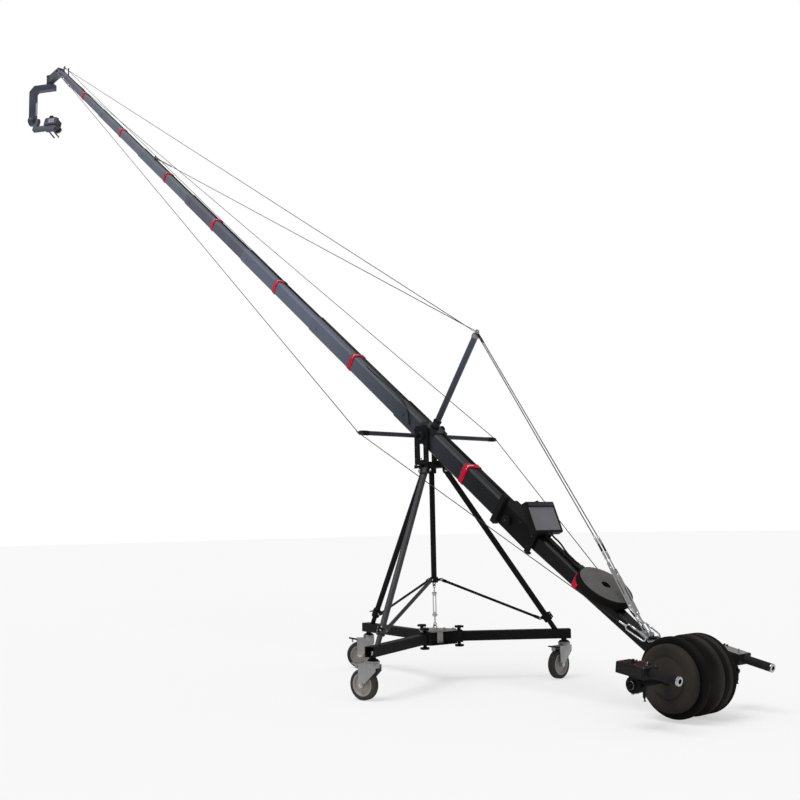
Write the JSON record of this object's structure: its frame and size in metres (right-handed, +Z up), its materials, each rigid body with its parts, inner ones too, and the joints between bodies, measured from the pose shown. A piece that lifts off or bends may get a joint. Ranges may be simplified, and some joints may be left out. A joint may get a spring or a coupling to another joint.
{
  "type": "camera jib crane",
  "caption": "Camera jib crane: tripod on a caster dolly, panning yoke, long tilting boom with mast and stays, rear weights, monitor, hand controls and a remote camera head.",
  "frame": {"origin": "on the pan axis, at floor level under the tripod", "axes": "+X along the boom heading, to the camera end; +Y to the left of it; +Z up"},
  "size_m": [7.7696, 1.2974, 5.4504],
  "materials": {
    "black_paint": "satin",
    "grey_paint": "satin",
    "bright_steel": "brushed",
    "zinc": "zinc plated",
    "wheel_rubber": "matte",
    "boom_paint": "satin paint",
    "weight_rubber": "rubber covered",
    "black_plastic": "matte",
    "screen_glass": "gloss",
    "cable_rubber": "matte",
    "grip_foam": "foam",
    "red_plastic": "gloss"
  },
  "bodies": {
    "dolly": {"dolly_hub": "black_paint", "tripod_crown": "black_paint", "centre_column": "black_paint", "base_turnbuckle": "bright_steel", "dolly_arm_front": "black_paint", "tripod_leg_front": "black_paint", "spreader_rod_front": "black_paint", "dolly_arm_left": "black_paint", "tripod_leg_left": "grey_paint", "spreader_rod_left": "black_paint", "dolly_arm_right": "black_paint", "tripod_leg_right": "black_paint", "spreader_rod_right": "black_paint"},
    "yoke": {"yoke": "black_paint"},
    "pan_lock": {"pan_lock_knob": "black_plastic"},
    "boom": {"pivot_section": "boom_paint", "rear_section": "boom_paint", "boom_section_1": "boom_paint", "boom_section_2": "boom_paint", "boom_section_3": "boom_paint", "boom_section_4": "boom_paint", "boom_section_5": "boom_paint", "boom_section_6": "boom_paint", "mast": "black_paint", "side_arms": "black_paint", "weight_bar": "black_paint", "weights_left": "weight_rubber", "weights_right": "weight_rubber", "top_weight": "weight_rubber", "side_stay_left": "bright_steel", "side_stay_right": "bright_steel", "mast_stays": "bright_steel", "monitor_bracket": "boom_paint", "monitor_cables": "cable_rubber"},
    "level_arm": {"level_arm": "boom_paint"},
    "head": {"head_pan_arm": "boom_paint"},
    "cradle": {"tilt_cradle": "boom_paint", "camera_body": "black_plastic", "camera_lens": "black_plastic"},
    "monitor": {"monitor_shell": "black_plastic", "monitor_screen": "screen_glass"},
    "control_left": {"control_box_left": "black_plastic", "grip_left": "grip_foam"},
    "clamp_lever_left": {"clamp_lever_left": "black_plastic"},
    "toggle_left": {"toggle_left": "black_plastic"},
    "record_button": {"record_button": "red_plastic"},
    "speed_knob": {"speed_knob": "black_plastic"},
    "control_right": {"control_box_right": "black_plastic", "grip_right": "grip_foam"},
    "clamp_lever_right": {"clamp_lever_right": "black_plastic"},
    "toggle_right": {"toggle_right": "black_plastic"},
    "caster_front": {"caster_fork_front": "zinc"},
    "wheel_front": {"wheel_front": "wheel_rubber"},
    "pedal_front": {"brake_pedal_front": "zinc"},
    "caster_left": {"caster_fork_left": "zinc"},
    "wheel_left": {"wheel_left": "wheel_rubber"},
    "pedal_left": {"brake_pedal_left": "zinc"},
    "caster_right": {"caster_fork_right": "zinc"},
    "wheel_right": {"wheel_right": "wheel_rubber"},
    "pedal_right": {"brake_pedal_right": "zinc"}
  },
  "joints": [
    {"name": "boom_pan", "type": "hinge", "parent": "dolly", "child": "yoke", "pos_m": [0, 0, 1.158], "axis": [0, 0, 1], "continuous": true},
    {"name": "pan_lock_turn", "type": "hinge", "parent": "dolly", "child": "pan_lock", "pos_m": [0.04803, 0.06398, 1.15], "axis": [0.6004, 0.7997, 0], "range_deg": [-180, 180]},
    {"name": "boom_tilt", "type": "hinge", "parent": "yoke", "child": "boom", "pos_m": [0, 0, 1.317], "axis": [0, -1, 0], "range_deg": [-41, 0]},
    {"name": "nose_level", "type": "hinge", "parent": "boom", "child": "level_arm", "pos_m": [5.49502, 0, 5.4069], "axis": [0, -1, 0], "range_deg": [0, 41]},
    {"name": "head_pan", "type": "hinge", "parent": "level_arm", "child": "head", "pos_m": [5.75502, 0, 5.3469], "axis": [0, 0, 1], "continuous": true},
    {"name": "head_tilt", "type": "hinge", "parent": "head", "child": "cradle", "pos_m": [5.75502, 0, 4.9919], "axis": [0.809, 0.5878, 0], "range_deg": [-90, 90]},
    {"name": "monitor_tilt", "type": "hinge", "parent": "boom", "child": "monitor", "pos_m": [-0.78641, 0, 0.84459], "axis": [0, 1, 0], "range_deg": [0, 25], "deforming": ["monitor_cables"]},
    {"name": "control_left_tilt", "type": "hinge", "parent": "boom", "child": "control_left", "pos_m": [-1.58999, 0.33, 0.17722], "axis": [0, 1, 0], "range_deg": [-60, 60]},
    {"name": "clamp_lever_left_turn", "type": "hinge", "parent": "control_left", "child": "clamp_lever_left", "pos_m": [-1.63158, 0.33, 0.17137], "axis": [0.9903, 0, 0.1392], "range_deg": [-60, 60]},
    {"name": "toggle_left_tilt", "type": "hinge", "parent": "control_left", "child": "toggle_left", "pos_m": [-1.64271, 0.3208, 0.25059], "axis": [0, 1, 0], "range_deg": [-12, 12], "stiffness_Nm_per_rad": 0.05},
    {"name": "record_press", "type": "slide", "parent": "control_left", "child": "record_button", "axis": [-0.1392, 0, 0.9903], "range_m": [-0.003, 0], "stiffness_N_per_m": 300},
    {"name": "speed_knob_turn", "type": "hinge", "parent": "control_left", "child": "speed_knob", "pos_m": [-1.58786, 0.3392, 0.26265], "axis": [-0.1392, 0, 0.9903], "range_deg": [-140, 140]},
    {"name": "control_right_tilt", "type": "hinge", "parent": "boom", "child": "control_right", "pos_m": [-1.58999, -0.33, 0.17722], "axis": [0, 1, 0], "range_deg": [-60, 60]},
    {"name": "clamp_lever_right_turn", "type": "hinge", "parent": "control_right", "child": "clamp_lever_right", "pos_m": [-1.63107, -0.33, 0.16848], "axis": [0.9781, 0, 0.2079], "range_deg": [-60, 60]},
    {"name": "toggle_right_tilt", "type": "hinge", "parent": "control_right", "child": "toggle_right", "pos_m": [-1.6477, -0.3208, 0.24674], "axis": [0, 1, 0], "range_deg": [-12, 12], "stiffness_Nm_per_rad": 0.05},
    {"name": "caster_front_swivel", "type": "hinge", "parent": "dolly", "child": "caster_front", "pos_m": [0.69493, -0.0841, 0.18], "axis": [0, 0, 1], "continuous": true},
    {"name": "wheel_front_roll", "type": "hinge", "parent": "caster_front", "child": "wheel_front", "pos_m": [0.72624, -0.03888, 0.075], "axis": [-0.8221, 0.5693, 0], "continuous": true},
    {"name": "pedal_front_press", "type": "hinge", "parent": "caster_front", "child": "pedal_front", "pos_m": [0.7325, -0.02983, 0.16], "axis": [-0.8221, 0.5693, 0], "range_deg": [0, 8]},
    {"name": "caster_left_swivel", "type": "hinge", "parent": "dolly", "child": "caster_left", "pos_m": [-0.27464, 0.64387, 0.18], "axis": [0, 0, 1], "continuous": true},
    {"name": "wheel_left_roll", "type": "hinge", "parent": "caster_left", "child": "wheel_left", "pos_m": [-0.22159, 0.65839, 0.075], "axis": [-0.2639, 0.9646, 0], "continuous": true},
    {"name": "pedal_left_press", "type": "hinge", "parent": "caster_left", "child": "pedal_left", "pos_m": [-0.21097, 0.66129, 0.16], "axis": [-0.2639, 0.9646, 0], "range_deg": [0, 8]},
    {"name": "caster_right_swivel", "type": "hinge", "parent": "dolly", "child": "caster_right", "pos_m": [-0.42029, -0.55978, 0.18], "axis": [0, 0, 1], "continuous": true},
    {"name": "wheel_right_roll", "type": "hinge", "parent": "caster_right", "child": "wheel_right", "pos_m": [-0.42538, -0.50501, 0.075], "axis": [-0.9957, -0.0924, 0], "continuous": true},
    {"name": "pedal_right_press", "type": "hinge", "parent": "caster_right", "child": "pedal_right", "pos_m": [-0.42639, -0.49406, 0.16], "axis": [-0.9957, -0.0924, 0], "range_deg": [0, 8]}
  ],
  "couplings": [
    {"joint": "nose_level", "follows": "boom_tilt", "ratio": -1}
  ]
}
